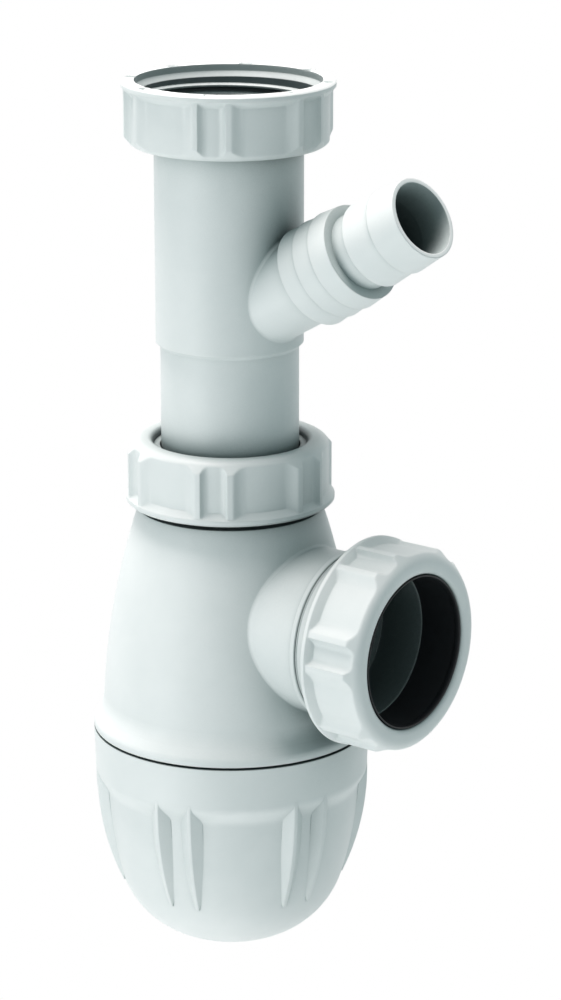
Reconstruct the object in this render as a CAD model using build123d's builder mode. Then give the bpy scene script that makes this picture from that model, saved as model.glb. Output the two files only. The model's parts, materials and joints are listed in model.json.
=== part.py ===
"""Bottle trap for a sink waste: a union nut and telescopic inlet tube with a barbed
hose tail, a bell-shaped body with a side outlet for a 40 mm pipe, and a screw-on cup.

Millimetres, +Z up along the inlet, +X along the outlet. The origin is the centre of
the inlet seal face, where the flange of the waste presses on the flat washer.
"""

import os
from math import atan2, cos, degrees, radians, sin, tan

from build123d import *

# Clearances
face_gap = 0.1  # between flat faces that are drawn together by a nut
slip_gap = 0.2  # between a rubber ring and the smooth tube or pocket that it slides in
guide_gap = 0.35  # between the telescopic tail and the plastic that guides it
thread_gap = 0.3  # between a thread root and what passes through it

# Grip nut: one moulding, used on the inlet, on the neck and on the outlet
nut_height = 18.0
nut_rim_overhang = 0.4  # of the collar round the open end, past the ridges
nut_rim_height = 2.1
nut_rim_slope = 0.9  # rise of the collar's upper face towards the grip
nut_rim_bevel = 0.6
grip_wall = 2.0  # from the thread root to the grip's floor
ridge_height = 2.25
ridge_crest_width = 1.5
flute_flank_angle = 68.0  # ridge flank towards its partner
panel_flank_angle = 50.0  # ridge flank towards the wide panel
ridge_pair_angle = 17.0  # from one ridge of a pair to the other
ridge_pairs = 6
flute_root_round = 2.0
panel_root_round = 3.4
ridge_crest_round = 0.5
ridge_sink = 1.2  # how far a ridge's section reaches into the grip
nut_slope_height = 4.8  # cone at the closed end
nut_slope_width = 4.2
nut_slope_round = 3.0
nut_end_wall = 2.4
nut_hole_gap = 0.9  # between the nut's hole and the tube
nut_hole_round = 2.1
nut_thread_r = 24.0  # root of the female thread, for a 1 1/2 inch male thread
nut_runout = 0.3  # groove under the thread
nut_lead_width = 1.15
nut_lead_depth = 1.75
nut_lead_slope = 1.45
rim_mark_count = 8
rim_mark_length = 3.2
rim_mark_width = 1.3
rim_mark_depth = 0.5
rim_mark_turn = 14.7
outlet_nut_turn = 49.3

# Inlet tube with its hose tail
washer_thickness = 3.0
flange_thickness = 2.5
flange_gap = 0.8  # between the tube's flange and the nut's thread root
tube_r = 20.1
tube_wall = 2.2
tube_length = 56.8  # under the flange, down to the step
tail_r = 18.86
tail_wall = 2.0
tail_length = 97.7
step_slope = 1.2

hose_above_step = 6.0  # from the tube's step up to where the hose axis meets the tube axis
hose_rise_angle = 30.0
hose_bore_r = 9.0
hose_mouth_lead = 0.87
hose_mouth_depth = 9.0
hose_stub_wall = 2.8
hose_stub_length = 33.9
wide_barb_height = 1.35  # over the stub
wide_barb_fall = 0.5
wide_barb_length = 5.68
wide_barbs = 3
hose_neck_wall = 1.5
hose_neck_length = 5.2
slim_barb_height = 1.3  # over the neck between the two sizes of barb
slim_barb_fall = 0.75
slim_barb_length = 8.9
slim_barbs = 2
hose_root_round = 0.8

# Trap body: neck, bell, outlet stub, lower skirt and dip tube in one moulding
outlet_drop = 137.1  # from the inlet seal face to the outlet axis, at mid adjustment
outlet_above_seam = 33.4  # from the body's lower face up to the outlet axis
bell_height = 62.9  # from the body's lower face up to the neck shoulder
neck_height = 13.3
thread_depth = 1.1  # height of the thread between a nut and what it screws on
stub_step = 0.9  # from the male thread's root to the plain stub
neck_shoulder_width = 2.5
bell_bulge = 2.0
bell_wall = 2.2
seam_flare_width = 2.75
seam_inset = 0.1  # of the body's lower edge from the cup's rim
seam_flange_height = 1.8
seam_flare_height = 4.7
seam_flare_round = 9.0
seam_flange_round = 2.6
skirt_r = 34.2  # root of the male thread for the cup
skirt_wall = 2.2
skirt_length = 13.5
dip_wall = 2.0
dip_floor_gap = 18.4  # from the cup's floor up to the end of the dip tube

stub_reach = 22.7  # from the bell's foot radius to the end of the outlet stub
stub_bead_setback = 17.2  # from the stub's end to the outer side of its bead
stub_bead_width = 2.1
stub_bead_height = 0.9
stub_root_round = 0.9
pipe_r = 20.0  # the outlet takes a 40 mm pipe
socket_gap = 0.4
socket_depth = 21.0
pipe_stop_width = 2.4  # step at the socket's floor

# Rubber rings and slip ring
pocket_wall = 1.2  # round the pocket for a rubber ring in the neck and in the stub
pocket_depth = 7.8
ring_flange_gap = 0.7  # between the rings' flanges and a nut's thread root
neck_ring_flange = 2.1
slip_ring_thickness = 1.8
outlet_ring_flange = 3.3
outlet_ring_gap = 0.7  # between the outlet ring and the pipe
nose_round = 0.7
cup_ring_thickness = 2.3
cup_ring_width = 2.6

# Cup
seam_gap = 0.7
cup_band_wall = 2.8
cup_rim_swell = 0.35  # the band grows towards its top edge
cup_band_height = 12.6
cup_thread_depth = 1.1  # height of the thread between skirt and cup
cup_lead_width = 0.6
cup_shoulder_height = 3.8
cup_shoulder_width = 2.3
bowl_taper = 4.5
bowl_bulge = 0.8
bowl_wall_depth = 43.3  # from the cup's top edge to the end of the upright wall
cup_depth = 61.9
cup_wall = 2.2
shoulder_round = 4.5
fin_pairs = 6
fin_pair_angle = 14.8
fin_turn = -16.0
fin_crest_width = 0.9
fin_flank_angle = 42.0
fin_half_width = 2.6
fin_height = 2.35
fin_bulge = 2.0
fin_end_depth = 44.6
fin_sink = 1.5  # how far a fin's upper end reaches into the band

# Sizes that follow from what screws, slides or lines up together
grip_floor_r = nut_thread_r + grip_wall
crest_r = grip_floor_r + ridge_height
nut_rim_r = crest_r + nut_rim_overhang
nut_lead_r = nut_thread_r + nut_lead_width
nut_hole_r = tube_r + nut_hole_gap
flange_r = nut_thread_r - flange_gap
ring_flange_r = nut_thread_r - ring_flange_gap
neck_thread_r = nut_thread_r - thread_depth  # root of the male thread on neck and stub
neck_shoulder_r = neck_thread_r + neck_shoulder_width
pocket_r = neck_thread_r - pocket_wall
stub_r = neck_thread_r - stub_step
socket_r = pipe_r + socket_gap
waterway_r = socket_r - pipe_stop_width
outlet_ring_r = pipe_r + outlet_ring_gap
dip_bore_r = tail_r + guide_gap
dip_r = dip_bore_r + dip_wall
cup_thread_r = skirt_r + cup_thread_depth
cup_band_r = cup_thread_r + cup_band_wall
cup_rim_r = cup_band_r + cup_rim_swell
seam_flange_r = cup_rim_r - seam_inset
bell_r = seam_flange_r - seam_flare_width
bowl_top_r = cup_band_r - cup_shoulder_width
bowl_low_r = bowl_top_r - bowl_taper
stub_end = bell_r + stub_reach
stub_bead_start = stub_end - stub_bead_setback - stub_bead_width
hose_drop = tube_length - hose_above_step
hose_mouth_r = hose_bore_r + hose_mouth_lead
hose_stub_r = hose_bore_r + hose_stub_wall
wide_barb_r = hose_stub_r + wide_barb_height
wide_barb_foot_r = wide_barb_r - wide_barb_fall
hose_neck_r = hose_bore_r + hose_neck_wall
slim_barb_r = hose_neck_r + slim_barb_height
slim_barb_foot_r = slim_barb_r - slim_barb_fall

os.makedirs("parts", exist_ok=True)

# The female thread ends level with the inlet seal face
seat_depth = nut_height - nut_end_wall
nut_thread_end = seat_depth - face_gap - flange_thickness - washer_thickness
ridge_depth = ridge_height + ridge_sink
half_crest = ridge_crest_width / 2
flute_foot = half_crest + ridge_depth / tan(radians(flute_flank_angle))
panel_foot = half_crest + ridge_depth / tan(radians(panel_flank_angle))

# Grip nut, open end on the XY plane and closed end up
with BuildPart() as grip_nut:
    # Grip: pairs of narrow ridges standing on a round floor
    with BuildSketch() as grip:
        Circle(grip_floor_r)
        for side in (-1, 1):
            with PolarLocations(crest_r, ridge_pairs, start_angle=side * ridge_pair_angle / 2):
                Polygon(
                    (0, -side * half_crest),
                    (0, side * half_crest),
                    (-ridge_depth, side * panel_foot),
                    (-ridge_depth, -side * flute_foot),
                    align=None,
                )
        # Each root corner lies either in the narrow flute or beside the wide panel
        mid_r = grip_floor_r + ridge_height / 2
        pair_step = 360 / ridge_pairs
        flute_roots = grip.vertices().filter_by(
            lambda v: v.center().length < mid_r
            and abs((degrees(atan2(v.Y, v.X)) + pair_step / 2) % pair_step - pair_step / 2)
            < ridge_pair_angle / 2
        )
        fillet(flute_roots, flute_root_round)
        panel_roots = grip.vertices().filter_by(
            lambda v: v.center().length < mid_r
            and abs((degrees(atan2(v.Y, v.X)) + pair_step / 2) % pair_step - pair_step / 2)
            > ridge_pair_angle / 2
        )
        fillet(panel_roots, panel_root_round)
        crests = grip.vertices().filter_by(lambda v: v.center().length > crest_r - face_gap)
        fillet(crests, ridge_crest_round)
    extrude(amount=nut_height)

    # Sloping closed end, which trims the ridges in scallops
    with BuildSketch(Plane.XZ) as envelope:
        with BuildLine():
            Polyline(
                (0, 0),
                (crest_r + slip_gap, 0),
                (crest_r + slip_gap, nut_height - nut_slope_height),
                (crest_r + slip_gap - nut_slope_width, nut_height),
                (0, nut_height),
                close=True,
            )
        make_face()
        slope_foot = (crest_r + slip_gap, nut_height - nut_slope_height)
        fillet(envelope.vertices().sort_by_distance(slope_foot)[0], nut_slope_round)
    revolve(axis=Axis.Z, mode=Mode.INTERSECT)

    # Collar round the open end
    with BuildSketch(Plane.XZ) as collar:
        with BuildLine():
            Polyline(
                (nut_thread_r, 0),
                (nut_rim_r, 0),
                (nut_rim_r, nut_rim_height),
                (grip_floor_r, nut_rim_height + nut_rim_slope),
                (nut_thread_r, nut_rim_height + nut_rim_slope),
                close=True,
            )
        make_face()
        chamfer(collar.vertices().group_by(Axis.X)[-1], nut_rim_bevel)
    revolve(axis=Axis.Z)

    # Hollow: lead-in, thread root, seat of the end wall and the rounded hole
    with BuildSketch(Plane.XZ):
        with BuildLine():
            Polyline(
                (nut_hole_r + nut_hole_round, nut_height),
                (0, nut_height),
                (0, 0),
                (nut_lead_r, 0),
                (nut_lead_r, nut_lead_depth),
                (nut_thread_r, nut_lead_depth + nut_lead_slope),
                (nut_thread_r, nut_thread_end),
                (nut_thread_r + nut_runout, nut_thread_end),
                (nut_thread_r + nut_runout, seat_depth),
                (nut_hole_r, seat_depth),
                (nut_hole_r, nut_height - nut_hole_round),
            )
            RadiusArc(
                (nut_hole_r, nut_height - nut_hole_round),
                (nut_hole_r + nut_hole_round, nut_height),
                nut_hole_round,
            )
        make_face()
    revolve(axis=Axis.Z, mode=Mode.SUBTRACT)

    # Small mould marks on the rim's face
    with BuildSketch():
        with PolarLocations((nut_lead_r + nut_rim_r) / 2, rim_mark_count, rim_mark_turn):
            Rectangle(rim_mark_width, rim_mark_length)
    extrude(amount=rim_mark_depth, mode=Mode.SUBTRACT)


# Heights that follow from the stack of pieces
flange_top = -washer_thickness
flange_bottom = flange_top - flange_thickness
inlet_nut_mouth = flange_bottom - face_gap + seat_depth
step_z = flange_bottom - tube_length
tail_end = step_z - tail_length

outlet_z = -outlet_drop
seam_z = outlet_z - outlet_above_seam
shoulder_z = seam_z + bell_height
neck_top = shoulder_z + neck_height
skirt_end = seam_z - skirt_length
cup_top = seam_z - seam_gap
cup_bottom = cup_top - cup_depth
cup_floor = cup_bottom + cup_wall
cup_seat = skirt_end - cup_ring_thickness - 2 * face_gap
dip_end = cup_floor + dip_floor_gap

neck_ring_top = neck_top + face_gap + neck_ring_flange
slip_ring_top = neck_ring_top + face_gap + slip_ring_thickness
neck_nut_mouth = slip_ring_top + face_gap - seat_depth
outlet_ring_end = stub_end + face_gap + outlet_ring_flange
outlet_nut_mouth = outlet_ring_end + face_gap - seat_depth

# The nut in its three places: open end up on the inlet, down on the neck and towards
# the body on the outlet
inlet_seat = Plane(origin=(0, 0, inlet_nut_mouth), x_dir=(1, 0, 0), z_dir=(0, 0, -1))
inlet_nut = inlet_seat.location * grip_nut.part
inlet_nut.label = "inlet_nut"
export_step(inlet_nut, "parts/inlet_nut.step")

neck_seat = Plane(origin=(0, 0, neck_nut_mouth), x_dir=(1, 0, 0), z_dir=(0, 0, 1))
neck_nut = neck_seat.location * grip_nut.part
neck_nut.label = "neck_nut"
export_step(neck_nut, "parts/neck_nut.step")

outlet_seat = Plane(
    origin=(outlet_nut_mouth, 0, outlet_z),
    x_dir=(0, cos(radians(outlet_nut_turn)), sin(radians(outlet_nut_turn))),
    z_dir=(1, 0, 0),
)
outlet_nut = outlet_seat.location * grip_nut.part
outlet_nut.label = "outlet_nut"
export_step(outlet_nut, "parts/outlet_nut.step")

# Flat washer on the inlet flange
with BuildPart() as inlet_washer:
    with BuildSketch(Plane.XY.offset(flange_top)):
        Circle(flange_r)
        Circle(tube_r - tube_wall, mode=Mode.SUBTRACT)
    extrude(amount=washer_thickness)
inlet_washer.part.label = "inlet_washer"
export_step(inlet_washer.part, "parts/inlet_washer.step")

# Inlet tube: flange, wide tube, hose tail and telescopic tail
hose_root = Vector(0, 0, flange_bottom - hose_drop)
hose_dir = Vector(cos(radians(hose_rise_angle)), 0, sin(radians(hose_rise_angle)))
hose_side = Plane(origin=hose_root, x_dir=hose_dir, z_dir=(0, -1, 0))
hose_axis = Axis(hose_root, hose_dir)
wide_end = hose_stub_length + wide_barbs * wide_barb_length
slim_start = wide_end + hose_neck_length
hose_end = slim_start + slim_barbs * slim_barb_length

with BuildPart() as inlet_tube:
    with BuildSketch(Plane.XZ):
        with BuildLine():
            Polyline(
                (0, flange_top),
                (flange_r, flange_top),
                (flange_r, flange_bottom),
                (tube_r, flange_bottom),
                (tube_r, step_z + step_slope),
                (tail_r, step_z),
                (tail_r, tail_end),
                (0, tail_end),
                close=True,
            )
        make_face()
    revolve(axis=Axis.Z)

    # Plain stub of the hose tail, softened where it grows out of the tube
    with BuildSketch(hose_side):
        with BuildLine():
            Polyline(
                (0, 0),
                (hose_stub_length + wide_barb_length, 0),
                (hose_stub_length + wide_barb_length, hose_stub_r),
                (0, hose_stub_r),
                close=True,
            )
        make_face()
    revolve(axis=hose_axis)
    fillet(inlet_tube.edges().filter_by(GeomType.BSPLINE), hose_root_round)

    # Barbs: each steps up on the tube's side and slopes down towards the hose end
    with BuildSketch(hose_side):
        with BuildLine():
            barb_points = [(hose_stub_length, 0)]
            for i in range(wide_barbs):
                start = hose_stub_length + i * wide_barb_length
                barb_points.append((start, wide_barb_r))
                barb_points.append((start + wide_barb_length, wide_barb_foot_r))
            barb_points.append((wide_end, hose_neck_r))
            barb_points.append((slim_start, hose_neck_r))
            for i in range(slim_barbs):
                start = slim_start + i * slim_barb_length
                barb_points.append((start, slim_barb_r))
                barb_points.append((start + slim_barb_length, slim_barb_foot_r))
            barb_points.append((hose_end, 0))
            Polyline(*barb_points, close=True)
        make_face()
    revolve(axis=hose_axis)

    # Waterways
    with BuildSketch(Plane.XZ):
        with BuildLine():
            Polyline(
                (0, flange_top),
                (tube_r - tube_wall, flange_top),
                (tube_r - tube_wall, step_z + step_slope + tube_wall),
                (tail_r - tail_wall, step_z + step_slope),
                (tail_r - tail_wall, tail_end),
                (0, tail_end),
                close=True,
            )
        make_face()
    revolve(axis=Axis.Z, mode=Mode.SUBTRACT)
    with BuildSketch(hose_side):
        with BuildLine():
            Polyline(
                (0, 0),
                (hose_end, 0),
                (hose_end, hose_mouth_r),
                (hose_end - hose_mouth_depth, hose_bore_r),
                (0, hose_bore_r),
                close=True,
            )
        make_face()
    revolve(axis=hose_axis, mode=Mode.SUBTRACT)
inlet_tube.part.label = "inlet_tube"
export_step(inlet_tube.part, "parts/inlet_tube.step")

# Neck ring: rubber lip ring between the tail and the neck's pocket
with BuildPart() as neck_seal:
    with BuildSketch(Plane.XZ) as lip:
        with BuildLine():
            Polyline(
                (tail_r + slip_gap, neck_top + face_gap - pocket_depth + slip_gap),
                (pocket_r - slip_gap, neck_top + face_gap - pocket_depth + slip_gap),
                (pocket_r - slip_gap, neck_top + face_gap),
                (ring_flange_r, neck_top + face_gap),
                (ring_flange_r, neck_ring_top),
                (tail_r + slip_gap, neck_ring_top),
                close=True,
            )
        make_face()
        nose = lip.vertices().group_by(Axis.Y)[0].sort_by(Axis.X)[-1]
        chamfer(nose, nose_round)
    revolve(axis=Axis.Z)
neck_seal.part.label = "neck_seal"
export_step(neck_seal.part, "parts/neck_seal.step")

# Slip ring between the rubber and the turning nut
with BuildPart() as neck_slip_ring:
    with BuildSketch(Plane.XY.offset(neck_ring_top + face_gap)):
        Circle(ring_flange_r)
        Circle(tail_r + guide_gap, mode=Mode.SUBTRACT)
    extrude(amount=slip_ring_thickness)
neck_slip_ring.part.label = "neck_slip_ring"
export_step(neck_slip_ring.part, "parts/neck_slip_ring.step")

# Trap body
outlet_side = Plane(origin=(0, 0, outlet_z), x_dir=(1, 0, 0), z_dir=(0, -1, 0))
outlet_axis = Axis((0, 0, outlet_z), (1, 0, 0))
flare_top = seam_z + seam_flange_height + seam_flare_height
chamber_top = shoulder_z - bell_wall

with BuildPart() as trap_body:
    # Outside of the bell, with the neck above and the skirt and dip tube below
    with BuildSketch(Plane.XZ) as bell:
        with BuildLine():
            Polyline(
                (0, neck_top),
                (neck_thread_r, neck_top),
                (neck_thread_r, shoulder_z),
                (neck_shoulder_r, shoulder_z),
            )
            SagittaArc((neck_shoulder_r, shoulder_z), (bell_r, flare_top), bell_bulge)
            Polyline(
                (bell_r, flare_top),
                (seam_flange_r, seam_z + seam_flange_height),
                (seam_flange_r, seam_z),
                (skirt_r, seam_z),
                (skirt_r, skirt_end),
                (dip_r, skirt_end),
                (dip_r, dip_end),
                (0, dip_end),
                (0, neck_top),
            )
        make_face()
        flare = bell.vertices().sort_by_distance((bell_r, flare_top))[0]
        fillet(flare, seam_flare_round)
        flange_top_edge = (seam_flange_r, seam_z + seam_flange_height)
        fillet(bell.vertices().sort_by_distance(flange_top_edge)[0], seam_flange_round)
    revolve(axis=Axis.Z)

    # Outlet stub with its bead and thread end
    with BuildSketch(outlet_side):
        with BuildLine():
            Polyline(
                (0, 0),
                (stub_end, 0),
                (stub_end, neck_thread_r),
                (stub_bead_start + stub_bead_width, neck_thread_r),
                (stub_bead_start + stub_bead_width, stub_r),
                (0, stub_r),
                close=True,
            )
        make_face()
    revolve(axis=outlet_axis)
    fillet(trap_body.edges().filter_by(GeomType.BSPLINE), stub_root_round)
    with BuildSketch(outlet_side) as bead:
        with BuildLine():
            Polyline(
                (stub_bead_start, waterway_r),
                (stub_bead_start + stub_bead_width, waterway_r),
                (stub_bead_start + stub_bead_width, stub_r + stub_bead_height),
                (stub_bead_start, stub_r + stub_bead_height),
                close=True,
            )
        make_face()
        chamfer(bead.vertices().group_by(Axis.Y)[-1], stub_bead_height / 3)
    revolve(axis=outlet_axis)

    # Chamber between the bell and the dip tube, open at the bottom
    with BuildSketch(Plane.XZ):
        with BuildLine():
            Polyline(
                (dip_r, skirt_end),
                (dip_r, chamber_top),
                (neck_shoulder_r - bell_wall, chamber_top),
                (
                    (neck_shoulder_r + bell_r) / 2 - bell_wall + bell_bulge,
                    (chamber_top + flare_top) / 2,
                ),
                (bell_r - bell_wall, flare_top),
                (skirt_r - skirt_wall, seam_z),
                (skirt_r - skirt_wall, skirt_end),
                (dip_r, skirt_end),
            )
        make_face()
    revolve(axis=Axis.Z, mode=Mode.SUBTRACT)

    # Bore of the dip tube and the pocket for the neck ring
    with BuildSketch(Plane.XY.offset(dip_end)):
        Circle(dip_bore_r)
    extrude(amount=neck_top - dip_end, mode=Mode.SUBTRACT)
    with BuildSketch(Plane.XY.offset(neck_top - pocket_depth)):
        Circle(pocket_r)
    extrude(amount=pocket_depth, mode=Mode.SUBTRACT)

    # Waterway, pipe socket and ring pocket of the outlet
    with BuildSketch(outlet_side):
        with BuildLine():
            Polyline(
                (dip_r + guide_gap, 0),
                (stub_end, 0),
                (stub_end, pocket_r),
                (stub_end - pocket_depth, pocket_r),
                (stub_end - pocket_depth, socket_r),
                (stub_end - socket_depth, socket_r),
                (stub_end - socket_depth, waterway_r),
                (dip_r + guide_gap, waterway_r),
                close=True,
            )
        make_face()
    revolve(axis=outlet_axis, mode=Mode.SUBTRACT)
trap_body.part.label = "trap_body"
export_step(trap_body.part, "parts/trap_body.step")

# Outlet ring: black rubber sleeve with a flange under the nut
with BuildPart() as outlet_seal:
    with BuildSketch(outlet_side):
        with BuildLine():
            Polyline(
                (stub_end - pocket_depth + slip_gap, outlet_ring_r),
                (stub_end - pocket_depth + slip_gap, pocket_r - slip_gap),
                (stub_end + face_gap, pocket_r - slip_gap),
                (stub_end + face_gap, ring_flange_r),
                (outlet_ring_end, ring_flange_r),
                (outlet_ring_end, outlet_ring_r),
                close=True,
            )
        make_face()
    revolve(axis=outlet_axis)
outlet_seal.part.label = "outlet_seal"
export_step(outlet_seal.part, "parts/outlet_seal.step")

# Flat ring between the skirt and the cup
with BuildPart() as cup_seal:
    with BuildSketch(Plane.XY.offset(cup_seat + face_gap)):
        Circle(cup_thread_r - thread_gap)
        Circle(cup_thread_r - thread_gap - cup_ring_width, mode=Mode.SUBTRACT)
    extrude(amount=cup_ring_thickness)
cup_seal.part.label = "cup_seal"
export_step(cup_seal.part, "parts/cup_seal.step")

# Cup
band_end = cup_top - cup_band_height
bowl_top = band_end - cup_shoulder_height
wall_end = cup_top - bowl_wall_depth


def bowl_curve(inset, top):
    """Upright wall and round floor of the bowl, set in by a wall thickness."""
    wall = SagittaArc((bowl_top_r - inset, top), (bowl_low_r - inset, wall_end), bowl_bulge)
    lean = wall % 1
    floor_z = cup_bottom + inset
    radius = (wall_end - floor_z) / (1 + lean.X)
    turn = JernArc(wall @ 1, lean, radius, lean.get_angle(Vector(0, -1)) - 90)
    Line(turn @ 1, (0, floor_z))
    return wall, turn


# One fin: a blade in the plane of the bowl's axis, with sloping flanks
fin_end = cup_top - fin_end_depth
fin_top = band_end + fin_sink
with BuildPart() as fin:
    with BuildSketch(Plane.XZ.offset(fin_crest_width / 2)) as blade:
        with BuildLine():
            SagittaArc((bowl_top_r + fin_height, fin_top), (bowl_low_r, fin_end), fin_bulge)
            Polyline(
                (bowl_low_r, fin_end),
                (bowl_low_r - cup_wall, fin_end),
                (bowl_low_r - cup_wall, fin_top),
                (bowl_top_r + fin_height, fin_top),
            )
        make_face()
    extrude(blade.sketch, amount=fin_half_width, taper=fin_flank_angle)
    extrude(blade.sketch, amount=-fin_crest_width / 2)
    mirror(about=Plane.XZ)

with BuildPart() as cup:
    with BuildSketch(Plane.XZ) as shell_outside:
        with BuildLine():
            Polyline(
                (0, cup_top),
                (cup_rim_r, cup_top),
                (cup_band_r, band_end),
                (bowl_top_r, bowl_top),
            )
            bowl_curve(0, bowl_top)
            Line((0, cup_bottom), (0, cup_top))
        make_face()
        for corner in ((cup_band_r, band_end), (bowl_top_r, bowl_top)):
            fillet(shell_outside.vertices().sort_by_distance(corner)[0], shoulder_round)
    revolve(axis=Axis.Z)
    for side in (-1, 1):
        with PolarLocations(0, fin_pairs, start_angle=fin_turn + side * fin_pair_angle / 2):
            add(fin.part)
    with BuildSketch(Plane.XZ):
        with BuildLine():
            Polyline(
                (0, cup_top),
                (cup_thread_r + cup_lead_width, cup_top),
                (cup_thread_r, cup_top - cup_lead_width),
                (cup_thread_r, cup_seat),
                (bowl_top_r - cup_wall, cup_seat),
                (bowl_top_r - cup_wall, bowl_top),
            )
            bowl_curve(cup_wall, bowl_top)
            Line((0, cup_floor), (0, cup_top))
        make_face()
    revolve(axis=Axis.Z, mode=Mode.SUBTRACT)
cup.part.label = "cup"
export_step(cup.part, "parts/cup.step")

print("inlet nut mouth", round(inlet_nut_mouth, 2), "neck nut mouth", round(neck_nut_mouth, 2))
print("outlet nut mouth", round(outlet_nut_mouth, 2), "outlet end", round(outlet_ring_end, 2))
print("step", step_z, "tail end", tail_end, "hose end", round(hose_end, 2))
print("neck top", neck_top, "shoulder", shoulder_z, "seam", seam_z, "cup bottom", cup_bottom)
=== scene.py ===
# %% [markdown]
# A white bottle trap, as it hangs under a basin: a union nut on top, a telescopic tube
# with a slanting hose tail, a bell with a side outlet, and a cup that unscrews for
# cleaning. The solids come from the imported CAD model. This lesson gives them their finish,
# finer grip nuts, barbs and screw threads, the camera and the light. All lengths are in
# metres, and most are written as a number of millimetres.

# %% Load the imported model
import json
import math

import bmesh
import bpy
from mathutils import Matrix, Vector


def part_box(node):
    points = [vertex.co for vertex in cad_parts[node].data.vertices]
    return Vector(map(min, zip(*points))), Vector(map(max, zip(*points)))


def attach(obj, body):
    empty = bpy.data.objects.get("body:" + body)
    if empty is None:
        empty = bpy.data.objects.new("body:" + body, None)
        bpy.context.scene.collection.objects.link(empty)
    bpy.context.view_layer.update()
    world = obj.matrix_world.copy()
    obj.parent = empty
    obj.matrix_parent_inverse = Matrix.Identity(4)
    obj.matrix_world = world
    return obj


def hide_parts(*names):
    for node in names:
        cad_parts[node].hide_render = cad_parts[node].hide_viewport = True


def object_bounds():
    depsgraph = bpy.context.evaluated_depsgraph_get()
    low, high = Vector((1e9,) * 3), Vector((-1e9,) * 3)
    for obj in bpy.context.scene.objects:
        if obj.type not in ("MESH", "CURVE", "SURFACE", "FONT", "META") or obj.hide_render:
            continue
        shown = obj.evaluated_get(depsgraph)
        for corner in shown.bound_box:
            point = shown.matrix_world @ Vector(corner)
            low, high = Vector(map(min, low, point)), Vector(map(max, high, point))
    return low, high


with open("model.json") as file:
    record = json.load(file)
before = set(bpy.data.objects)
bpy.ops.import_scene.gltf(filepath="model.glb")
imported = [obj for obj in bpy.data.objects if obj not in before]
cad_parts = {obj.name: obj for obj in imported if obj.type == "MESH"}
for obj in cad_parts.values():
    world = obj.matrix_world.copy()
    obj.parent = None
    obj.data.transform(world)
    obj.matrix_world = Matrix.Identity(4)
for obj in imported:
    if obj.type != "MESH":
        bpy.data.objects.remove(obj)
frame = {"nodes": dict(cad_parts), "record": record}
cad_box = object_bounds()
mm = 0.001
print("nodes", sorted(frame["nodes"]))
print("CAD box", [[round(x, 4) for x in corner] for corner in cad_box])

# %% [markdown]
# The camera has a long lens and stands a little above the trap, looking at it from between
# its front and its outlet side. The long lens keeps the tube's sides nearly parallel. The
# camera looks at a point near the middle of the trap, slightly to the outlet's side of the
# tube.

# %% Camera
view_azimuth = math.radians(38.3)
view_pitch = math.radians(16.52)
view_distance = 912.2 * mm
view_target = Vector((10.80, 8.53, -106.44)) * mm

camera_data = bpy.data.cameras.new("camera")
camera_data.sensor_width = 36.0
camera_data.lens = 119.37
camera_data.clip_start = 0.05
camera_data.clip_end = 20.0
camera = bpy.data.objects.new("camera", camera_data)
bpy.context.scene.collection.objects.link(camera)
level_back = Vector((math.sin(view_azimuth), -math.cos(view_azimuth), 0))
view_back = level_back * math.cos(view_pitch) + Vector((0, 0, math.sin(view_pitch)))
camera.location = view_target + view_back * view_distance
camera.rotation_mode = "QUATERNION"
camera.rotation_quaternion = (-view_back).to_track_quat("-Z", "Y")
bpy.context.scene.camera = camera
bpy.context.scene.view_settings.view_transform = "Standard"
print("camera at", [round(x, 3) for x in camera.location])

# %% [markdown]
# Colours are written as the sRGB hex values that a colour picker shows, and one function
# turns them to the linear values that shaders need. A second small function adds a node,
# sets its values and makes its links, so that each material below reads from top to bottom.

# %% Helpers for materials


def linear(hex_colour):
    """An sRGB hex colour as linear red, green, blue and alpha."""
    channels = [int(hex_colour[i : i + 2], 16) / 255 for i in (1, 3, 5)]
    curve = [c / 12.92 if c <= 0.04045 else ((c + 0.055) / 1.055) ** 2.4 for c in channels]
    return (*curve, 1.0)


def add_node(tree, kind, settings=None, values=None, links=None):
    """Adds a node of this kind, with its settings, its socket values and its links."""
    node = tree.nodes.new(kind)
    for name, value in (settings or {}).items():
        setattr(node, name, value)
    for name, value in (values or {}).items():
        node.inputs[name].default_value = value
    for name, source in (links or {}).items():
        tree.links.new(source, node.inputs[name])
    return node


def new_material(name):
    """An empty node material with its output node."""
    material = bpy.data.materials.new(name)
    material.use_nodes = True
    material.node_tree.nodes.clear()
    output = material.node_tree.nodes.new("ShaderNodeOutputMaterial")
    return material, material.node_tree, output


print("white is", linear("#FFFFFF"))

# %% [markdown]
# The trap is injection-moulded polypropylene, pigmented white. The polished mould leaves a
# satin skin: soft broad highlights, a very fine grain, and a faint cloudiness where the
# melt cooled at different speeds. Edges left by the mould are never razor sharp, so the
# Bevel node rounds their shading by half a millimetre.

# %% White polypropylene: tone and skin
cloud_size = 18.0 * mm
grain_size = 0.7 * mm
mould_edge = 0.5 * mm

white_plastic, tree, output = new_material("moulded_white_polypropylene")
place = add_node(tree, "ShaderNodeTexCoord").outputs["Object"]
clouds = add_node(
    tree,
    "ShaderNodeTexNoise",
    values={"Scale": 1 / cloud_size, "Detail": 3.0, "Roughness": 0.55},
    links={"Vector": place},
)
tone = add_node(
    tree,
    "ShaderNodeValToRGB",
    {"name": "plastic_tone"},
    links={"Fac": clouds.outputs["Fac"]},
)
tone.color_ramp.elements[0].position = 0.3
tone.color_ramp.elements[0].color = linear("#EDF1F0")
tone.color_ramp.elements[1].position = 0.7
tone.color_ramp.elements[1].color = linear("#F3F6F5")
polish = add_node(
    tree,
    "ShaderNodeMapRange",
    values={"To Min": 0.38, "To Max": 0.46},
    links={"Value": clouds.outputs["Fac"]},
)
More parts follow.
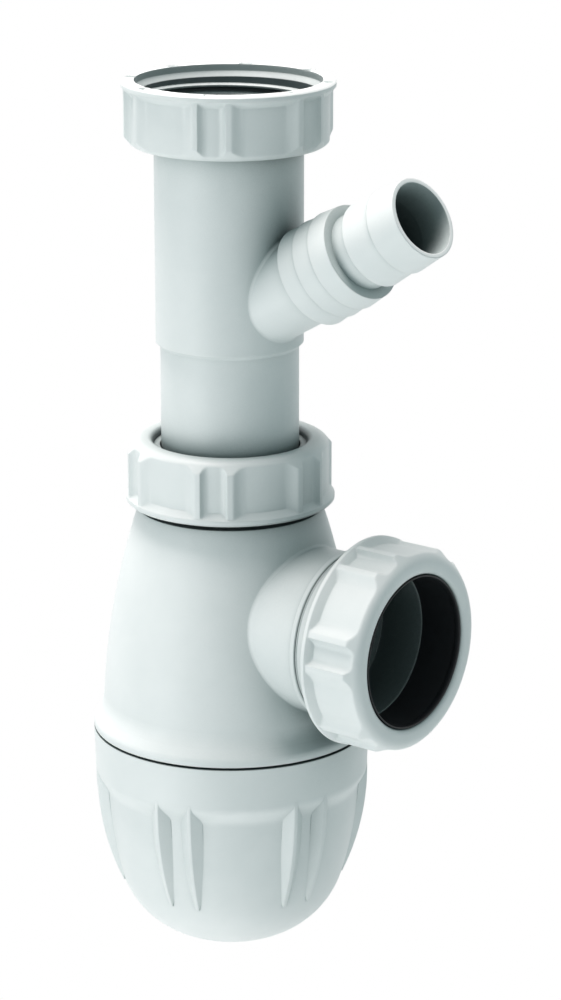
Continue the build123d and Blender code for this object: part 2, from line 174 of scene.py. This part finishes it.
# The real grain is finer than a pixel here, so it is drawn coarse enough to show
grain = add_node(
    tree,
    "ShaderNodeTexNoise",
    values={"Scale": 1 / grain_size, "Detail": 2.0, "Roughness": 0.6},
    links={"Vector": place},
)
edges = add_node(tree, "ShaderNodeBevel", {"samples": 6}, {"Radius": mould_edge})
skin = add_node(
    tree,
    "ShaderNodeBump",
    values={"Strength": 0.05, "Distance": 0.05 * mm},
    links={"Height": grain.outputs["Fac"], "Normal": edges.outputs["Normal"]},
)
print("tone and skin", len(tree.nodes), "nodes")

# %% [markdown]
# Deep hollows, such as the waterways, get painted shade, darker the deeper they are. It could
# be painted by hand, but an Ambient Occlusion node finds the hollows on every piece: it
# measures how much of the room a point can see within a hand's breadth. A ramp turns that into
# painted shade, which multiplies the tone.

# %% White polypropylene: painted shade in hollows, and shader
hollow_reach = 60.0 * mm

hollows = add_node(
    tree,
    "ShaderNodeAmbientOcclusion",
    {"samples": 8},
    {"Distance": hollow_reach},
)
# The ramp's greys are painted shade, darkest where a point sees least of the room
painted_hollow_shade = add_node(tree, "ShaderNodeValToRGB", links={"Fac": hollows.outputs["AO"]})
painted_hollow_shade.color_ramp.elements[0].position = 0.0
painted_hollow_shade.color_ramp.elements[0].color = linear("#3A4245")
painted_hollow_shade.color_ramp.elements[1].position = 0.97
painted_hollow_shade.color_ramp.elements[1].color = linear("#FFFFFF")
nearly_shut = painted_hollow_shade.color_ramp.elements.new(0.3)
nearly_shut.color = linear("#727C7C")
half_open = painted_hollow_shade.color_ramp.elements.new(0.5)
half_open.color = linear("#BEC7C7")
# A Mix node's colours are its inputs 6 and 7 and its output 2
shaded = add_node(
    tree,
    "ShaderNodeMix",
    {"data_type": "RGBA", "blend_type": "MULTIPLY"},
    {"Factor": 1.0},
    {6: tone.outputs["Color"], 7: painted_hollow_shade.outputs["Color"]},
)
plastic = add_node(
    tree,
    "ShaderNodeBsdfPrincipled",
    values={"IOR": 1.49, "Specular IOR Level": 0.45},
    links={
        "Base Color": shaded.outputs[2],
        "Roughness": polish.outputs["Result"],
        "Normal": skin.outputs["Normal"],
    },
)
tree.links.new(plastic.outputs["BSDF"], output.inputs["Surface"])
print("made", white_plastic.name)

# %% [markdown]
# The bore of a nut is formed by a core that unscrews while the plastic is warm. Deep in the
# nut it lies in shade, so its faces take a copy of the finish with darker tones, which paint
# that shade.

# %% Painted shade of the nuts' bores
painted_bore_shade = white_plastic.copy()
painted_bore_shade.name = "white_polypropylene_painted_bore_shade"
bore_shade_ramp = painted_bore_shade.node_tree.nodes["plastic_tone"].color_ramp
# These darker tones are painted shade, not a colour of the plastic
bore_shade_ramp.elements[0].color = linear("#7C8688")
bore_shade_ramp.elements[1].color = linear("#899395")
print("made", painted_bore_shade.name)

# %% [markdown]
# The seals are EPDM rubber, black with carbon. Moulded rubber is dull with a slight sheen,
# and it always carries a little dust and talc, so its tone wanders between two near-blacks.

# %% Black rubber
dust_size = 3.0 * mm

black_rubber, tree, output = new_material("moulded_epdm_rubber")
place = add_node(tree, "ShaderNodeTexCoord").outputs["Object"]
dust = add_node(
    tree,
    "ShaderNodeTexNoise",
    values={"Scale": 1 / dust_size, "Detail": 4.0, "Roughness": 0.6},
    links={"Vector": place},
)
tone = add_node(tree, "ShaderNodeValToRGB", links={"Fac": dust.outputs["Fac"]})
tone.color_ramp.elements[0].position = 0.35
tone.color_ramp.elements[0].color = linear("#0E1215")
tone.color_ramp.elements[1].position = 0.75
tone.color_ramp.elements[1].color = linear("#161B1F")
edges = add_node(tree, "ShaderNodeBevel", {"samples": 6}, {"Radius": mould_edge})
rub = add_node(
    tree,
    "ShaderNodeBump",
    values={"Strength": 0.1, "Distance": 0.05 * mm},
    links={"Height": dust.outputs["Fac"], "Normal": edges.outputs["Normal"]},
)
rubber = add_node(
    tree,
    "ShaderNodeBsdfPrincipled",
    values={"Roughness": 0.55, "IOR": 1.5, "Specular IOR Level": 0.4},
    links={"Base Color": tone.outputs["Color"], "Normal": rub.outputs["Normal"]},
)
tree.links.new(rubber.outputs["BSDF"], output.inputs["Surface"])
print("made", black_rubber.name)

# %% [markdown]
# Each CAD node keeps its shape and takes the finish that its slot in the record names.

# %% Finish the CAD nodes
finishes = {"white_plastic": white_plastic, "black_rubber": black_rubber}
for part in frame["record"]["subparts"]:
    node = frame["nodes"][part["node"]]
    node.data.materials.clear()
    node.data.materials.append(finishes[part["material_slot"]])
print("finished", len(frame["nodes"]), "nodes")

# %% [markdown]
# The union nuts are the showpiece of this moulding: a collar round the open end, pairs of
# low ridges for the fingers, and a sloping closed end that trims each ridge to a scallop.
# The solids carry a plainer nut, so a finer one stands for it here. It could be cut with
# booleans, but a lathe shape is cleaner: a spin turns the nut's section into a smooth ring
# at the height of the collar, and the wall is then pulled in, vertex by vertex, to the
# outline of the ridges. Where the end slopes, the lower of the two surfaces wins, and the
# scallops appear by themselves.
#
# Each ridge has a steep flank towards its twin and a shallow one away from it.

# %% Outline of the grip
grip_floor = 26.9 * mm
ridge_height = 1.5 * mm
crest_half_width = 0.8 * mm
ridge_pair_angle = math.radians(18.2)
pair_step = math.radians(60.0)
outer_slope = math.radians(32.0)
outer_root = 6.0 * mm
inner_slope = math.radians(55.0)
inner_root = 2.2 * mm
collar_r = 28.65 * mm
collar_height = 1.6 * mm
collar_foot = 3.4 * mm


def flank(run, slope, root_round):
    """Height of a ridge at a run out from its crest, with a rounded root."""
    foot = ridge_height / math.tan(slope)
    reach = root_round * math.tan(slope / 2)
    if run <= 0:
        return ridge_height
    if run >= foot + reach:
        return 0.0
    if run <= foot - reach * math.cos(slope):
        return ridge_height - run * math.tan(slope)
    return root_round - math.sqrt(root_round**2 - (foot + reach - run) ** 2)


def grip_radius(angle, height):
    """Radius of the nut's wall: the ridges on their floor, or the collar where it is higher."""
    turn = abs((angle + pair_step / 2) % pair_step - pair_step / 2)
    off_crest = (turn - ridge_pair_angle / 2) * (grip_floor + ridge_height)
    if off_crest > 0:
        ridge = flank(off_crest - crest_half_width, outer_slope, outer_root)
    else:
        ridge = flank(-off_crest - crest_half_width, inner_slope, inner_root)
    fall = (collar_foot - height) / (collar_foot - collar_height)
    collar = grip_floor + (collar_r - grip_floor) * min(fall, 1.0)
    return max(grip_floor + ridge, collar)


print("pairs of ridges", round(2 * math.pi / pair_step))

# %% [markdown]
# The section below runs round the nut's wall once: through the thread's bore, over the
# rounded lip of the hole, down the sloping end and the grip to the collar. The wall needs
# rows of points only where the slope and the collar meet the ridges.

# %% Section of the nut
nut_height = 17.6 * mm
nut_hole = 21.0 * mm
nut_wall = 24.0 * mm
lead_in_r = 25.15 * mm
lead_in_straight = 1.75 * mm
lead_in_end = 3.2 * mm
pocket_r = 24.3 * mm
pocket_start = 10.1 * mm
pocket_end = 15.6 * mm
lip_round = 1.7 * mm
end_round = 3.4 * mm
slope_run = 2.9 * mm
slope_rise = 3.5 * mm
slope_round = 2.0 * mm
slope_start = 12.4 * mm
slope_row = 0.26 * mm
collar_row = 0.3 * mm
rim_bevel = 0.6 * mm
rim_rows = [27.5 * mm, 26.9 * mm, 26.25 * mm]


def slope_radius(height):
    """Radius of the sloping end, which leaves the collar's cylinder in a soft round."""
    slope = math.atan2(slope_run, slope_rise)
    foot = nut_height - slope_rise
    climb = height - foot + slope_round * math.tan(slope / 2)
    if climb <= 0:
        return collar_r
    if climb < slope_round * math.sin(slope):
        return collar_r - slope_round + math.sqrt(slope_round**2 - climb**2)
    return collar_r - (height - foot) * math.tan(slope)


def nut_section():
    """Radius and height of the points round the nut's wall, from the rim through the bore."""
    bore = [
        (lead_in_r, 0),
        (lead_in_r, lead_in_straight),
        (nut_wall, lead_in_end),
        (nut_wall, pocket_start),
        (pocket_r, pocket_start),
        (pocket_r, pocket_end),
        (nut_hole, pocket_end),
    ]
    lip = [
        (nut_hole + lip_round * (1 - math.cos(a)), nut_height - lip_round * (1 - math.sin(a)))
        for a in [math.radians(22.5 * k) for k in range(5)]
    ]
    tilt = math.atan2(slope_rise, slope_run)
    crown_start = collar_r - slope_run - end_round * math.tan(tilt / 2)
    crown = [
        (crown_start + end_round * math.sin(a), nut_height - end_round * (1 - math.cos(a)))
        for a in [tilt * k / 8 for k in range(9)]
    ]
    heights = [crown[-1][1] - slope_row * k for k in range(1, 15)]
    heights += [slope_start]
    heights += [collar_foot - collar_row * k for k in range(7)]
    grip = [(slope_radius(z), z) for z in heights]
    rim = [(collar_r, rim_bevel), (collar_r - rim_bevel, 0)] + [(r, 0) for r in rim_rows]
    return bore + lip + crown + grip + rim


print("points in the nut's section", len(nut_section()))

# %% [markdown]
# A full spin leaves two copies of the section where it closes, so it merges them. The nut
# is made once, and each of the three is a copy. Eight shallow marks on the rim's face are
# left by the pins that push the nut out of its mould.

# %% Spin the nut
around = 480
rim_marks = 8
rim_mark_turn = math.radians(16.1)
mark_inner_r = 26.2 * mm
mark_outer_r = 27.6 * mm
mark_half_width = 1.6 * mm
mark_depth = 0.8 * mm
weld = 0.001 * mm
near = 0.1 * mm  # a point this close to a face counts as on it
sharp_from = math.radians(32)


def spin_section(section, steps):
    """A closed section of radius and height, spun once round +Z."""
    shape = bmesh.new()
    points = [shape.verts.new((r, 0, z)) for r, z in section]
    loop = [shape.edges.new((a, b)) for a, b in zip(points, points[1:] + points[:1])]
    bmesh.ops.spin(
        shape,
        geom=points + loop,
        cent=(0, 0, 0),
        axis=(0, 0, 1),
        angle=2 * math.pi,
        steps=steps,
        use_merge=True,
    )
    bmesh.ops.remove_doubles(shape, verts=shape.verts, dist=weld)
    return shape


def shape_grip(shape):
    """Pulls the spun wall in to the ridges, and sinks the marks into the rim's face."""
    mark_step = 2 * math.pi / rim_marks
    for point in shape.verts:
        radius = math.hypot(point.co.x, point.co.y)
        angle = math.atan2(point.co.y, point.co.x)
        on_rim = point.co.z < near
        if radius > grip_floor and not on_rim:
            wanted = min(radius, grip_radius(angle, point.co.z))
            point.co.x *= wanted / radius
            point.co.y *= wanted / radius
        off_mark = abs((angle - rim_mark_turn + mark_step / 2) % mark_step - mark_step / 2)
        in_mark = mark_inner_r < radius < mark_outer_r and off_mark * radius < mark_half_width
        if on_rim and in_mark:
            point.co.z = mark_depth


def nut_mesh():
    """The union nut, open end at the origin and closed end up, with painted shade in its bore.
    """
    shape = spin_section(nut_section(), around)
    shape_grip(shape)
    bmesh.ops.recalc_face_normals(shape, faces=shape.faces)
    # Faces of the bore take the second material, whose darker tones are painted shade
    for face in shape.faces:
        middle = face.calc_center_median()
        inside = math.hypot(middle.x, middle.y) < pocket_r + near
        if inside and lead_in_end - near < middle.z < pocket_end + near:
            face.material_index = 1
    mesh = bpy.data.meshes.new("grip_nut")
    shape.to_mesh(mesh)
    shape.free()
    mesh.shade_smooth()
    mesh.set_sharp_from_angle(angle=sharp_from)
    mesh.materials.append(white_plastic)
    mesh.materials.append(painted_bore_shade)
    print(mesh.name, len(mesh.polygons), "faces")
    return mesh


one_nut = nut_mesh()

# %% [markdown]
# The inlet's nut opens upwards, the neck's downwards and the outlet's towards the bell. The
# nuts take their places from the boxes of the CAD nuts that they stand for. The outlet's
# is also turned about its own axis, to where it came to rest when it was screwed tight.

# %% Fit the three nuts


def fit_nut(node, place):
    """A copy of the nut, put in place by a matrix, which stands for a CAD node."""
    mesh = one_nut.copy()
    mesh.transform(place)
    piece = bpy.data.objects.new(node + "_grip", mesh)
    bpy.context.scene.collection.objects.link(piece)
    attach(piece, node)
    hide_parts(node)
    print("fitted", piece.name)


inlet_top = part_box("inlet_nut")[1].z
neck_nut_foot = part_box("neck_nut")[0].z
outlet_low, outlet_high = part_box("outlet_nut")
outlet_height = (outlet_low.z + outlet_high.z) / 2
upside_down = Matrix.Rotation(math.pi, 4, "X")
screwed_tight = Matrix.Rotation(math.radians(50.7), 4, "X")
# This matrix lays +Z along the outlet's +X
laid_down = Matrix(((0, 0, 1, 0), (1, 0, 0, 0), (0, 1, 0, 0), (0, 0, 0, 1)))
outlet_place = Matrix.Translation((outlet_low.x, 0, outlet_height))

fit_nut("inlet_nut", Matrix.Translation((0, 0, inlet_top)) @ upside_down)
fit_nut("neck_nut", Matrix.Translation((0, 0, neck_nut_foot)))
fit_nut("outlet_nut", outlet_place @ screwed_tight @ laid_down)

# %% [markdown]
# The hose tail has three wide barbs and, past a waist, two slim ones. A barb steps up on
# the tube's side and falls towards the mouth, so a hose slides on and doesn't slide off. The
# wide ones stand a little higher than the solid's, so one ring of three steps is spun
# round the tail's axis and lies over them.

# %% Wide barbs of the hose tail
tail_drop = 56.3 * mm
tail_lean = math.radians(60)
barbs = 3
barb_start = 33.9 * mm
barb_step = 5.68 * mm
barb_top = 13.8 * mm
barb_low = 13.2 * mm
ring_bore = 10.2 * mm
joint_cover = 0.05 * mm
ring_steps = 180


def spun_ring(name, body, section, place, material):
    """A ring with this section, spun round +Z and put in place by a matrix."""
    shape = spin_section(section, ring_steps)
    bmesh.ops.recalc_face_normals(shape, faces=shape.faces)
    bmesh.ops.transform(shape, matrix=place, verts=shape.verts)
    mesh = bpy.data.meshes.new(name)
    shape.to_mesh(mesh)
    shape.free()
    mesh.shade_smooth()
    mesh.set_sharp_from_angle(angle=sharp_from)
    mesh.materials.append(material)
    piece = bpy.data.objects.new(name, mesh)
    bpy.context.scene.collection.objects.link(piece)
    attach(piece, body)
    print(name, len(mesh.polygons), "faces")


tail_axis = Matrix.Translation((0, 0, -tail_drop)) @ Matrix.Rotation(tail_lean, 4, "Y")
barb_end = barb_start + barbs * barb_step + joint_cover
section = [(ring_bore, barb_start - joint_cover)]
for k in range(barbs):
    section.append((barb_top, barb_start + k * barb_step - joint_cover))
    section.append((barb_low, barb_start + (k + 1) * barb_step - joint_cover))
section[-1] = (barb_low, barb_end)
section.append((ring_bore, barb_end))
spun_ring("hose_barbs", "inlet_tube", section, tail_axis, white_plastic)

# %% [markdown]
# Two small rings finish the outlet. A bead on the stub, just behind the nut, is where the
# mould's slide ended. In the nut's hole the rubber ring shows a soft rolled lip, which a
# pipe wipes past. Both are rounded sections, spun round the outlet's axis. Their points are
# millimetres of radius and of place along that axis, the lip's from the nut's end face.

# %% Bead and seal lip of the outlet
bead = [(21.6, 38.7), (23.0, 38.7), (23.35, 39.0), (23.35, 40.2), (23.1, 40.5), (21.6, 40.5)]
lip = [
    (20.6, -2.4),
    (20.4, -1.6),
    (20.4, -0.9),
    (20.52, -0.55),
    (20.75, -0.42),
    (20.93, -0.6),
    (20.96, -1.0),
    (20.96, -2.4),
]
nut_end = outlet_low.x + nut_height
bead = [(r * mm, x * mm) for r, x in bead]
lip = [(r * mm, nut_end + x * mm) for r, x in lip]
outlet_axis = Matrix.Translation((0, 0, outlet_height)) @ Matrix.Rotation(math.pi / 2, 4, "Y")
spun_ring("outlet_bead", "trap_body", bead, outlet_axis, white_plastic)
spun_ring("outlet_seal_lip", "outlet_seal", lip, outlet_axis, black_rubber)

# %% [markdown]
# The CAD solids have plain cylinders where the threads are. A thread is one ridge that
# climbs round the cylinder, and a spin with a small step along the axis at each turn makes
# exactly that from a four-cornered section. The ridge starts just inside the wall that
# carries it, and both its ends run out into that wall. Inside a nut it stands inwards, and
# on a neck or a skirt outwards, and the two crests stay clear of each other, so a nut can
# turn at any height.

# %% One screw thread
ridge_sink = 0.1 * mm
steps_per_turn = 60
foot_share = 0.36
crest_share = 0.1


def thread(name, body, wall_r, crest_r, pitch, turns, place):
    """One helical ridge round +Z from the origin, put in place by a matrix."""
    shape = bmesh.new()
    inwards = 1 if crest_r < wall_r else -1
    foot = wall_r + inwards * ridge_sink
    half_foot = foot_share * pitch
    half_crest = crest_share * pitch
    corners = [
        shape.verts.new((foot, 0, -half_foot)),
        shape.verts.new((crest_r, 0, -half_crest)),
        shape.verts.new((crest_r, 0, half_crest)),
        shape.verts.new((foot, 0, half_foot)),
    ]
    section = shape.faces.new(corners)
    spun = bmesh.ops.spin(
        shape,
        geom=[section],
        cent=(0, 0, 0),
        axis=(0, 0, 1),
        dvec=(0, 0, pitch / steps_per_turn),
        angle=2 * math.pi * turns,
        steps=round(steps_per_turn * turns),
    )
    last = [v for v in spun["geom_last"] if isinstance(v, bmesh.types.BMVert)]
    for point in corners + last:
        shrink = foot / math.hypot(point.co.x, point.co.y)
        point.co.x *= shrink
        point.co.y *= shrink
    bmesh.ops.remove_doubles(shape, verts=shape.verts, dist=weld)
    bmesh.ops.recalc_face_normals(shape, faces=shape.faces)
    bmesh.ops.transform(shape, matrix=place, verts=shape.verts)
    mesh = bpy.data.meshes.new(name)
    shape.to_mesh(mesh)
    shape.free()
    mesh.materials.append(white_plastic)
    piece = bpy.data.objects.new(name, mesh)
    bpy.context.scene.collection.objects.link(piece)
    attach(piece, body)
    print(name, len(mesh.polygons), "faces")


print("a thread has", steps_per_turn, "steps in each turn")

# %% [markdown]
# All three nuts share one pitch. The inlet's thread is the deepest, because it takes the
# waste's own thread, and its start is turned to the side that shows. The neck and the outlet
# stub carry the outer threads of the other two.

# %% Threads of the nuts, the neck and the stub
nut_pitch = 2.309 * mm
neck_wall = 22.9 * mm
inlet_crest = 23.1 * mm
nut_crest = 23.45 * mm
neck_crest = 23.35 * mm
inlet_thread_depth = 9.1 * mm
nut_thread_start = 3.9 * mm
neck_thread_depth = 9.6 * mm
stub_thread_depth = 12.0 * mm
body_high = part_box("trap_body")[1]

inlet_start = Matrix.Rotation(math.radians(-50), 4, "Z")
inlet_place = Matrix.Translation((0, 0, inlet_top - inlet_thread_depth)) @ inlet_start
neck_nut_place = Matrix.Translation((0, 0, neck_nut_foot + nut_thread_start))
outlet_nut_place = outlet_axis @ Matrix.Translation((0, 0, outlet_low.x + nut_thread_start))
neck_place = Matrix.Translation((0, 0, body_high.z - neck_thread_depth))
stub_place = outlet_axis @ Matrix.Translation((0, 0, body_high.x - stub_thread_depth))

thread("inlet_nut_thread", "inlet_nut", nut_wall, inlet_crest, nut_pitch, 2.0, inlet_place)
thread("neck_nut_thread", "neck_nut", nut_wall, nut_crest, nut_pitch, 2.3, neck_nut_place)
thread("outlet_nut_thread", "outlet_nut", nut_wall, nut_crest, nut_pitch, 2.3, outlet_nut_place)
thread("neck_thread", "trap_body", neck_wall, neck_crest, nut_pitch, 3.4, neck_place)
thread("outlet_stub_thread", "trap_body", neck_wall, neck_crest, nut_pitch, 4.4, stub_place)

# %% [markdown]
# The cup's thread is coarser, so that a hand can undo it in a few turns.

# %% Cup threads
cup_pitch = 4.0 * mm
skirt_wall = 34.2 * mm
skirt_crest = 34.7 * mm
cup_wall = 35.3 * mm
cup_crest = 34.8 * mm
skirt_thread_depth = 11.2 * mm
cup_thread_depth = 12.6 * mm
cup_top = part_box("cup")[1].z

skirt_place = Matrix.Translation((0, 0, cup_top - skirt_thread_depth))
cup_place = Matrix.Translation((0, 0, cup_top - cup_thread_depth))
thread("skirt_thread", "trap_body", skirt_wall, skirt_crest, cup_pitch, 2.2, skirt_place)
thread("cup_thread", "cup", cup_wall, cup_crest, cup_pitch, 2.2, cup_place)

# %% [markdown]
# The room of a plain studio is pale and cool, and it fills the shadows. Rays that reach the
# camera, or that reach it by a reflection, see a white room instead, so the background is
# white without more light on the trap.

# %% World
world = bpy.data.worlds.new("studio")
bpy.context.scene.world = world
world.use_nodes = True
tree = world.node_tree
tree.nodes.clear()
rays = add_node(tree, "ShaderNodeLightPath")
mirrored = add_node(
    tree,
    "ShaderNodeMath",
    {"operation": "MAXIMUM"},
    links={0: rays.outputs["Is Glossy Ray"], 1: rays.outputs["Is Transmission Ray"]},
)
seen = add_node(
    tree,
    "ShaderNodeMath",
    {"operation": "MAXIMUM"},
    links={0: rays.outputs["Is Camera Ray"], 1: mirrored.outputs[0]},
)
room = add_node(
    tree,
    "ShaderNodeBackground",
    values={"Color": linear("#E0F8FB"), "Strength": 0.34},
)
white = add_node(
    tree,
    "ShaderNodeBackground",
    values={"Color": linear("#FFFFFF"), "Strength": 1.0},
)
background = add_node(
    tree,
    "ShaderNodeMixShader",
    links={0: seen.outputs[0], 1: room.outputs[0], 2: white.outputs[0]},
)
add_node(tree, "ShaderNodeOutputWorld", links={"Surface": background.outputs[0]})
print("made", world.name)

# %% [markdown]
# Five soft lamps light the trap. The strong one hangs overhead, a little to the left and
# behind, so tops are bright and the right sides fall off to grey. Two weaker ones stand on
# the left, in front of the trap and behind it, and two low ones lift the undersides of the
# bell and the cup. All face the middle of the trap.

# %% Lights
middle = (cad_box[0] + cad_box[1]) / 2
level_right = Vector((math.cos(view_azimuth), math.sin(view_azimuth), 0))


def soft_light(name, right, back, up, width, height, watts, hex_colour):
    """A rectangular lamp, placed by how far it stands right of, behind and above the trap."""
    data = bpy.data.lights.new(name, "AREA")
    data.shape = "RECTANGLE"
    data.size = width
    data.size_y = height
    data.energy = watts
    data.color = linear(hex_colour)[:3]
    lamp = bpy.data.objects.new(name, data)
    bpy.context.scene.collection.objects.link(lamp)
    offset = level_right * right - level_back * back + Vector((0, 0, up))
    lamp.location = middle + offset
    lamp.rotation_mode = "QUATERNION"
    lamp.rotation_quaternion = (-offset).to_track_quat("-Z", "Y")
    print(name, "at", [round(x, 2) for x in lamp.location])


soft_light("overhead", -0.25, 0.15, 1.5, 0.7, 0.7, 29.0, "#FFF6F4")
soft_light("left_front", -1.05, -0.7, -0.2, 0.9, 1.0, 4.5, "#FFFFFF")
soft_light("left_back", -0.9, 0.9, 0.5, 0.9, 1.2, 1.4, "#FFFFFF")
soft_light("low_left", -0.85, -0.65, -0.8, 1.0, 0.8, 6.4, "#FFFFFF")
soft_light("low_right", 1.0, -0.4, -0.8, 1.0, 0.8, 2.6, "#F4FFFF")

# %% [markdown]
# The trap hangs from its inlet, as it does in use, so the floor lies well below it. It is a
# plain pale disc, wide enough to throw light back up and to take the shadow.

# %% Floor
floor_drop = 0.40
floor_r = 0.6
floor_height = cad_box[0].z - floor_drop

pale_floor, tree, output = new_material("pale_studio_floor")
paint = add_node(
    tree,
    "ShaderNodeBsdfPrincipled",
    values={"Base Color": linear("#F4F5F5"), "Roughness": 0.8, "Specular IOR Level": 0.2},
)
tree.links.new(paint.outputs["BSDF"], output.inputs["Surface"])
shape = bmesh.new()
bmesh.ops.create_circle(shape, cap_ends=True, radius=floor_r, segments=96)
bmesh.ops.translate(shape, vec=(middle.x, middle.y, floor_height), verts=shape.verts)
floor_mesh = bpy.data.meshes.new("floor")
shape.to_mesh(floor_mesh)
shape.free()
floor_mesh.materials.append(pale_floor)
floor = bpy.data.objects.new("floor", floor_mesh)
bpy.context.scene.collection.objects.link(floor)
print("floor at", round(floor_height, 3))
